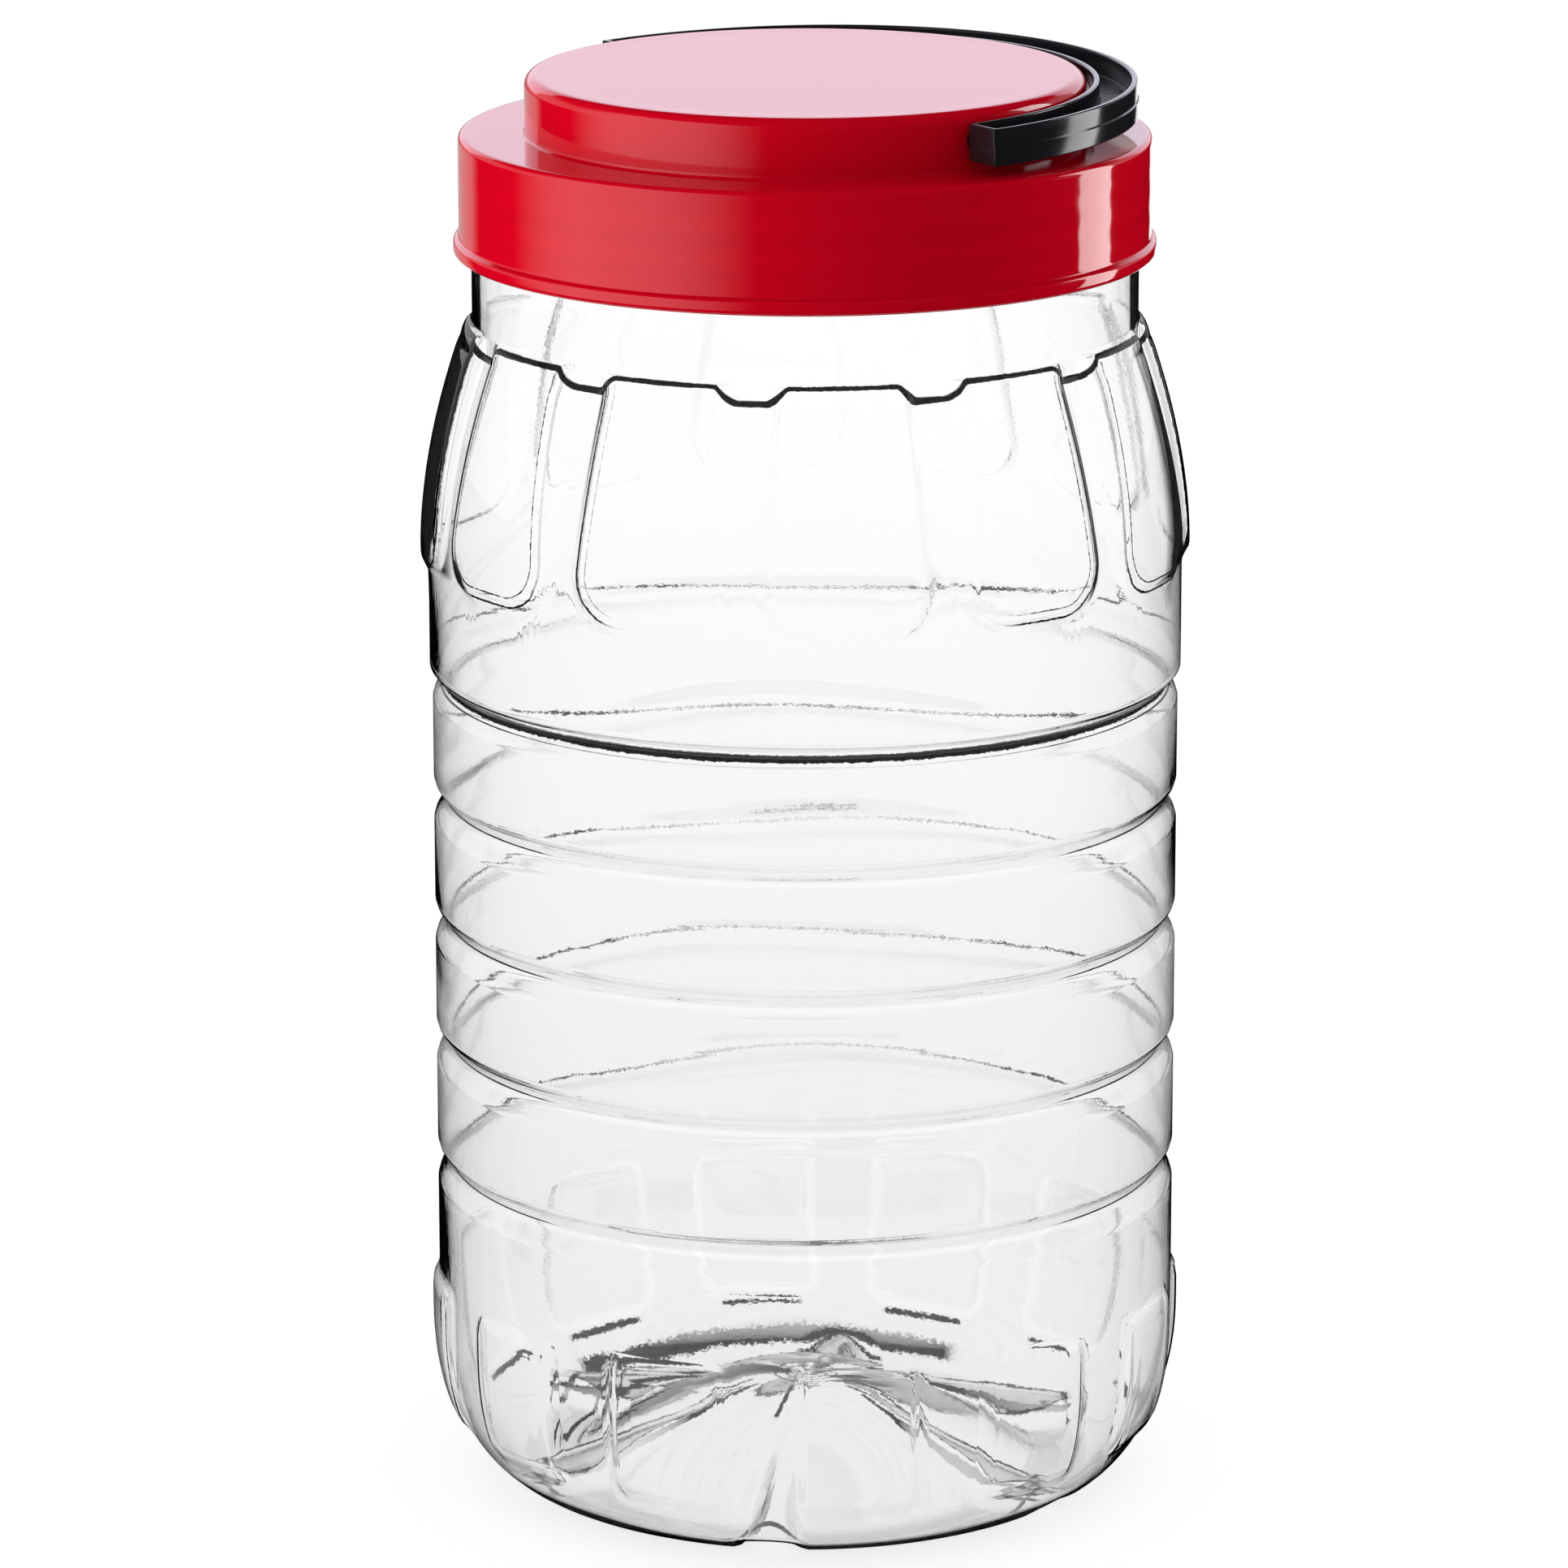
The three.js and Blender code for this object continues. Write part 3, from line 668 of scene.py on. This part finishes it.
# The thread inside the skirt: one turn of a ridge that runs out at both ends
ridge_root = skirt_inner + 0.4
ridge = drawn("cap_thread", [
    (ridge_root, -1.15), (cap_thread_crest, -0.5), (cap_thread_crest, 0.5), (ridge_root, 1.15), (ridge_root, -1.15),
])
bpy.ops.mesh.remove_doubles(threshold=mm / 1000)
bpy.ops.object.mode_set(mode="OBJECT")
apply_modifier(
    ridge, "SCREW", angle=tau, screw_offset=thread_pitch * mm, steps=128, render_steps=128,
    use_merge_vertices=False,
)
places = positions(ridge)
radius = np.hypot(places[:, 0], places[:, 1])
lap = places[:, 2] / thread_pitch
run_out = smooth_step(np.minimum(lap + 0.02, 1.02 - lap) * 18)
shallow = ridge_root - (ridge_root - radius) * np.clip(run_out, 0.05, 1)
places[:, :2] *= (shallow / radius)[:, None]
places[:, 2] += cap_thread_start
set_positions(ridge, places)
bpy.ops.object.mode_set(mode="EDIT")
bpy.ops.mesh.select_all(action="SELECT")
bpy.ops.mesh.fill_holes(sides=4)
bpy.ops.mesh.select_all(action="SELECT")
bpy.ops.mesh.normals_make_consistent(inside=False)
bpy.ops.object.mode_set(mode="OBJECT")
work_on(cap)
ridge.select_set(True)
bpy.ops.object.join()

# The two holes that the handle's pins snap into
for side_of_cap in (1, -1):
    start_modelling()
    bpy.ops.mesh.primitive_cylinder_add(
        vertices=40, radius=1.85 * mm, depth=6 * mm,
        location=(side_of_cap * (boss_radius - 0.7) * mm, 0, pivot_height * mm), rotation=(0, pi / 2, 0),
    )
    drill = bpy.context.object
    bpy.ops.object.transform_apply()
    apply_modifier(cap, "BOOLEAN", operation="DIFFERENCE", object=drill, solver="EXACT")
    bpy.data.objects.remove(drill)
clear_slivers(cap)
bpy.ops.object.shade_smooth_by_angle(angle=radians(38))

red, shader, _ = new_material("red_polypropylene")
tree = red.node_tree
group, relief = add_skin(red, shader, gloss=0.06, cloudiness=0.05, rubs=0.1, tone=0.05, bump=0.006)
shader.inputs["IOR"].default_value = 1.5

# Over the thread inside, the skirt has shrunk a little in slow waves that climb with the thread: a real bump, and
# with it painted shade, the tone 3% darker and lighter along the waves
maths, fade, noise = node_calls(tree)
place, x, y, z = object_place(tree)
around = maths("ARCTAN2", x, maths("MULTIPLY", y, -1.0))
climb_of_thread = maths("MULTIPLY_ADD", around, -thread_pitch * mm / tau, z)
wave = maths("SINE", maths("MULTIPLY", climb_of_thread, tau / (thread_pitch * mm)))
on_skirt = maths("MULTIPLY", fade(z, 0.2300, 0.2330), fade(z, 0.2455, 0.2430))
uneven_wave = maths("MULTIPLY", maths("MULTIPLY", wave, on_skirt), fade(noise(place, 22.0, 1.0), 0.35, 0.6))
sink = tree.nodes.new("ShaderNodeBump")
sink.inputs["Distance"].default_value = 0.03 * mm
tree.links.new(uneven_wave, sink.inputs["Height"])
tree.links.new(sink.outputs["Normal"], relief.inputs["Normal"])
# Painted shade: the tone rises and falls by 3% with the waves
tone = maths("MULTIPLY", group.outputs["Tone"], maths("MULTIPLY_ADD", uneven_wave, 0.03, 1.0))
red_colour = (0.6, 0.0006, 0.012, 1)
tree.links.new(mix_colours(tree, "MULTIPLY", 1, red_colour, tone), shader.inputs["Base Color"])
cap.data.materials.clear()
cap.data.materials.append(red)
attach(cap, "cap")
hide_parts("screw_cap")


# Swing handle: a half ring of black polypropylene, moulded as a trough that
# is open at the top. The pins on its ends snap into the wall of the boss.
handle_inner, handle_outer = 51.0, 58.8
handle_half, handle_wall, handle_floor = 3.3, 1.1, 2.6
end_reach, spring_up = 2.7, radians(1.2)
parting_half, parting_step = 0.15, 0.2
middle_radius = (handle_inner + handle_outer) / 2
past_axis = asin(end_reach / middle_radius)


def pick_faces(piece, wanted):
    """In edit mode, selects the faces whose middle and normal answer wanted(middle in mm, normal)."""
    bpy.ops.mesh.select_all(action="DESELECT")
    bpy.ops.mesh.select_mode(type="FACE")
    bpy.ops.object.mode_set(mode="OBJECT")
    for face in piece.data.polygons:
        face.select = bool(wanted(np.array(face.center) / mm, np.array(face.normal)))
    bpy.ops.object.mode_set(mode="EDIT")


start_modelling()
bpy.ops.mesh.primitive_plane_add(size=mm)
handle = bpy.context.object
handle.name = handle.data.name = "handle_trough"
bpy.ops.object.mode_set(mode="EDIT")
bpy.ops.mesh.select_all(action="SELECT")
bpy.ops.transform.resize(value=(handle_outer - handle_inner, 2 * handle_half, 1))
bpy.ops.transform.rotate(value=pi / 2, orient_axis="X", center_override=(0, 0, 0))
bpy.ops.transform.translate(value=(middle_radius * mm, 0, pivot_height * mm))
bpy.ops.transform.rotate(value=past_axis, orient_axis="Z", center_override=(0, 0, 0))
bpy.ops.mesh.spin(steps=120, angle=-pi - 2 * past_axis, center=(0, 0, 0), axis=(0, 0, 1))
bpy.ops.mesh.select_all(action="SELECT")
bpy.ops.mesh.normals_make_consistent(inside=False)

# The trough, sunk from the top, with a thin wall left all round it
pick_faces(handle, lambda middle, normal: normal[2] > 0.9)
bpy.ops.mesh.inset(thickness=handle_wall * mm, use_even_offset=True)
bpy.ops.mesh.extrude_region_move(
    TRANSFORM_OT_translate={"value": (0, 0, -(2 * handle_half - handle_floor) * mm)},
)

# The step on the outer wall, where the two halves of the mould met
for height_above in (-parting_half, parting_half):
    bpy.ops.mesh.select_all(action="SELECT")
    bpy.ops.mesh.bisect(plane_co=(0, 0, (pivot_height + height_above) * mm), plane_no=(0, 0, 1))
pick_faces(
    handle,
    lambda middle, normal: middle[2] < pivot_height - 0.2 and np.hypot(*middle[:2]) > handle_outer - 0.5
    and abs(normal[2]) < 0.1 and normal[:2] @ middle[:2] > 40,
)
bpy.ops.transform.shrink_fatten(value=parting_step * mm)
bpy.ops.object.mode_set(mode="OBJECT")
apply_modifier(handle, "BEVEL", width=0.36 * mm, segments=3, limit_method="ANGLE", angle_limit=radians(40))

# The pins, with chamfered tips, joined to the inner wall
pin_length, pin_radius = 5.0, 1.6
for side_of_cap in (1, -1):
    start_modelling()
    pin_middle = side_of_cap * (handle_inner + 0.6 - pin_length / 2)
    bpy.ops.mesh.primitive_cylinder_add(
        vertices=32, radius=pin_radius * mm, depth=pin_length * mm,
        location=(pin_middle * mm, 0, pivot_height * mm), rotation=(0, pi / 2, 0),
    )
    pin = bpy.context.object
    bpy.ops.object.transform_apply()
    apply_modifier(pin, "BEVEL", width=0.35 * mm, segments=2, limit_method="ANGLE", angle_limit=radians(40))
    apply_modifier(handle, "BOOLEAN", operation="UNION", object=pin, solver="EXACT")
    bpy.data.objects.remove(pin)

# The rings that the ejector pins of the mould left on the trough's floor
floor_height = pivot_height - handle_half + handle_floor
for turned_by in (-75, -29, 29, 75):
    start_modelling()
    ring_x, ring_y = middle_radius * sin(radians(turned_by)), middle_radius * cos(radians(turned_by))
    bpy.ops.mesh.primitive_torus_add(
        major_segments=40, minor_segments=8, major_radius=1.8 * mm, minor_radius=0.16 * mm,
        location=(ring_x * mm, ring_y * mm, floor_height * mm),
    )
    ring = bpy.context.object
    bpy.ops.object.transform_apply()
    apply_modifier(handle, "BOOLEAN", operation="DIFFERENCE", object=ring, solver="EXACT")
    bpy.data.objects.remove(ring)
clear_slivers(handle)
bpy.ops.object.shade_smooth_by_angle(angle=radians(32))

# Folded down, it springs up a little about its pins
bpy.ops.object.mode_set(mode="EDIT")
bpy.ops.mesh.select_all(action="SELECT")
bpy.ops.transform.rotate(value=-spring_up, orient_axis="X", center_override=(0, 0, pivot_height * mm))
bpy.ops.object.mode_set(mode="OBJECT")

black, shader, _ = new_material("black_polypropylene")
tree = black.node_tree
group, _ = add_skin(black, shader, gloss=0.12, cloudiness=0.2, rubs=0.6, tone=0.3, bump=0.01)
black_colour = (0.011, 0.0105, 0.013, 1)
tree.links.new(
    mix_colours(tree, "MULTIPLY", 1, black_colour, group.outputs["Tone"]), shader.inputs["Base Color"],
)
shader.inputs["Specular IOR Level"].default_value = 0.35

# The trough's floor is matt, as the mould's ground steel left it
maths, fade, _ = node_calls(tree)
_, x, y, z = object_place(tree, scale=1000)
reach = maths("SQRT", maths("MULTIPLY_ADD", x, x, maths("MULTIPLY", y, y)))
over_floor = maths("SUBTRACT", z, maths("MULTIPLY_ADD", y, sin(spring_up), floor_height))
in_trough = maths(
    "MULTIPLY", fade(reach, handle_inner + handle_wall - 0.2, handle_inner + handle_wall),
    fade(reach, handle_outer - handle_wall + 0.2, handle_outer - handle_wall),
)
matt = maths("MULTIPLY", in_trough, maths("MULTIPLY", fade(over_floor, -0.8, -0.4), fade(over_floor, 0.5, 0.2)))
tree.links.new(
    maths("MAXIMUM", group.outputs["Roughness"], maths("MULTIPLY", matt, 0.42)), shader.inputs["Roughness"],
)
handle.data.materials.clear()
handle.data.materials.append(black)
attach(handle, "handle")
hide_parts("carry_handle")


# Sealing disc: soft white foam with a closed skin, die-cut, pressed between
# the cap's ledge and the rim of the neck.
liner_bottom, liner_top, liner_radius, liner_edge = 244.5, 246.3, 59.7, 0.4
liner_profile = [
    (0, liner_bottom), (liner_radius - liner_edge, liner_bottom), (liner_radius, liner_bottom + liner_edge),
    (liner_radius, liner_top - liner_edge), (liner_radius - liner_edge, liner_top), (0, liner_top),
]
liner = turned("foam_disc", held_flat(liner_profile), 192)
bpy.ops.object.shade_smooth_by_angle(angle=radians(30))
foam, shader, _ = new_material("white_foam")
tree = foam.node_tree
group, relief = add_skin(foam, shader, gloss=0.75, cloudiness=0.2, rubs=0.0, tone=0.06, bump=0.03)
cells = tree.nodes.new("ShaderNodeTexVoronoi")
cells.inputs["Scale"].default_value = 2600
tree.links.new(tree.nodes.new("ShaderNodeTexCoord").outputs["Object"], cells.inputs["Vector"])
pores = tree.nodes.new("ShaderNodeBump")
pores.inputs["Distance"].default_value = 0.05 * mm
tree.links.new(cells.outputs["Distance"], pores.inputs["Height"])
tree.links.new(pores.outputs["Normal"], relief.inputs["Normal"])
foam_colour = (0.86, 0.85, 0.83, 1)
tree.links.new(
    mix_colours(tree, "MULTIPLY", 1, foam_colour, group.outputs["Tone"]), shader.inputs["Base Color"],
)
liner.data.materials.clear()
liner.data.materials.append(foam)
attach(liner, "liner")
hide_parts("sealing_liner")


# Studio: a plain pale floor that runs out of sight, a pale room and soft lamps. The jar is
# lit by the room, and the lamps give only the lid its highlights.
floor_radius = 6
start_modelling()
bpy.ops.mesh.primitive_circle_add(vertices=96, radius=floor_radius, fill_type="NGON")
floor = bpy.context.object
floor.name = "floor"
white, shader, output = new_material("pale_floor")
tree = white.node_tree
maths, *_ = node_calls(tree)
shader.inputs["Base Color"].default_value = (0.95, 0.95, 0.95, 1)
shader.inputs["Roughness"].default_value = 0.9
shader.inputs["Specular IOR Level"].default_value = 0
shader.inputs["Emission Color"].default_value = (1, 1, 1, 1)
floor.data.materials.append(white)
sight = tree.nodes.new("ShaderNodeLightPath")
tree.links.new(maths("MULTIPLY", sight.outputs["Is Camera Ray"], 0.58), shader.inputs["Emission Strength"])
plain_white = tree.nodes.new("ShaderNodeEmission")
plain_white.inputs["Strength"].default_value = 1.1
surface = mix_shaders(
    tree, sight.outputs["Is Transmission Ray"], shader.outputs["BSDF"], plain_white.outputs["Emission"],
)
tree.links.new(surface, output.inputs["Surface"])

# A dark sheet on the floor, seen only in what is mirrored
start_modelling()
bpy.ops.mesh.primitive_circle_add(vertices=96, radius=floor_radius, location=(0, 0, mm), fill_type="NGON")
dark_sheet = bpy.context.object
dark_sheet.name = "dark_sheet"
dark, shader, _ = new_material("dark_card")
shader.inputs["Base Color"].default_value = (0.004, 0.004, 0.004, 1)
shader.inputs["Roughness"].default_value = 0.9
shader.inputs["Specular IOR Level"].default_value = 0
dark_sheet.data.materials.append(dark)
for kind in ("camera", "diffuse", "transmission", "shadow", "volume_scatter"):
    setattr(dark_sheet, "visible_" + kind, False)

# The room: white where it is looked at, grey as a light, and dark low down and in front where it is mirrored
world = bpy.data.worlds.new("pale_room")
bpy.context.scene.world = world
world.use_nodes = True
tree = world.node_tree
maths, fade, _ = node_calls(tree)
background = tree.nodes["Background"]
direction = tree.nodes.new("ShaderNodeTexCoord").outputs["Generated"]
split = tree.nodes.new("ShaderNodeSeparateXYZ")
tree.links.new(direction, split.inputs["Vector"])
behind = tree.nodes.new("ShaderNodeVectorMath")
behind.operation = "DOT_PRODUCT"
behind.inputs[1].default_value = (-sin(camera_azimuth), cos(camera_azimuth), 0)
tree.links.new(direction, behind.inputs[0])
mirrored = maths("MULTIPLY", fade(split.outputs["Z"], 0.5, 0.3), fade(behind.outputs["Value"], -0.1, 0.3))
sight = tree.nodes.new("ShaderNodeLightPath")
dark_room, grey_room, white_room = ((level, level, level, 1) for level in (0.01, 0.5, 1.1))
reflected = mix_colours(tree, "MIX", mirrored, dark_room, grey_room)
plain = mix_colours(tree, "MIX", sight.outputs["Is Glossy Ray"], grey_room, reflected)
looked_at = maths("MAXIMUM", sight.outputs["Is Camera Ray"], sight.outputs["Is Transmission Ray"])
tree.links.new(mix_colours(tree, "MIX", looked_at, plain, white_room), background.inputs["Color"])
lid_only = bpy.data.collections.new("lid_only")
for piece in (cap, handle):
    lid_only.objects.link(piece)


def soft_lamp(name, off_camera, distance, width, height, glow, lit=None, glossy=True, bottom=0.004):
    """An upright lamp that faces the jar, turned so far from the camera's side.

    Lit gives the shares of its width where it starts, is full, starts to fade and ends.
    """
    start_modelling()
    turn = camera_azimuth + radians(off_camera)
    place = (distance * sin(turn), -distance * cos(turn), bottom + height / 2)
    bpy.ops.object.light_add(type="AREA", location=place, rotation=(pi / 2, 0, turn))
    lamp = bpy.context.object
    lamp.name = name
    lamp.data.shape = "RECTANGLE"
    lamp.data.size, lamp.data.size_y = width, height
    lamp.data.energy = glow * pi * width * height
    lamp.visible_glossy = glossy
    lamp.light_linking.receiver_collection = lid_only
    if lit:
        starts, full, fades, ends = lit
        lamp.data.use_nodes = True
        tree = lamp.data.node_tree
        maths, fade, _ = node_calls(tree)
        split = tree.nodes.new("ShaderNodeSeparateXYZ")
        tree.links.new(tree.nodes.new("ShaderNodeNewGeometry").outputs["Parametric"], split.inputs["Vector"])
        along = split.outputs["X"]
        strength = maths("MULTIPLY", fade(along, starts, full), fade(along, ends, fades))
        tree.links.new(strength, tree.nodes["Emission"].inputs["Strength"])


soft_lamp("left_box", -65, 0.45, 1.12, 0.6, 1.45, lit=(0.12, 0.46, 0.58, 1.0))
soft_lamp("left_edge_strip", -158, 0.6, 0.58, 0.2, 0.52, lit=(0.0, 0.01, 0.8, 1.0))
soft_lamp("right_strip", 107, 0.6, 0.19, 0.6, 5.6)
soft_lamp("right_edge_strip", 167, 0.6, 0.2, 0.2, 1.5)
soft_lamp("back_panel", 180, 1.5, 2.4, 0.8, 1.22, bottom=0.34)
bpy.context.object.data.color = (0.77, 0.76, 0.93)
soft_lamp("left_fill", -80, 1.2, 1.2, 1.0, 1.5, glossy=False)
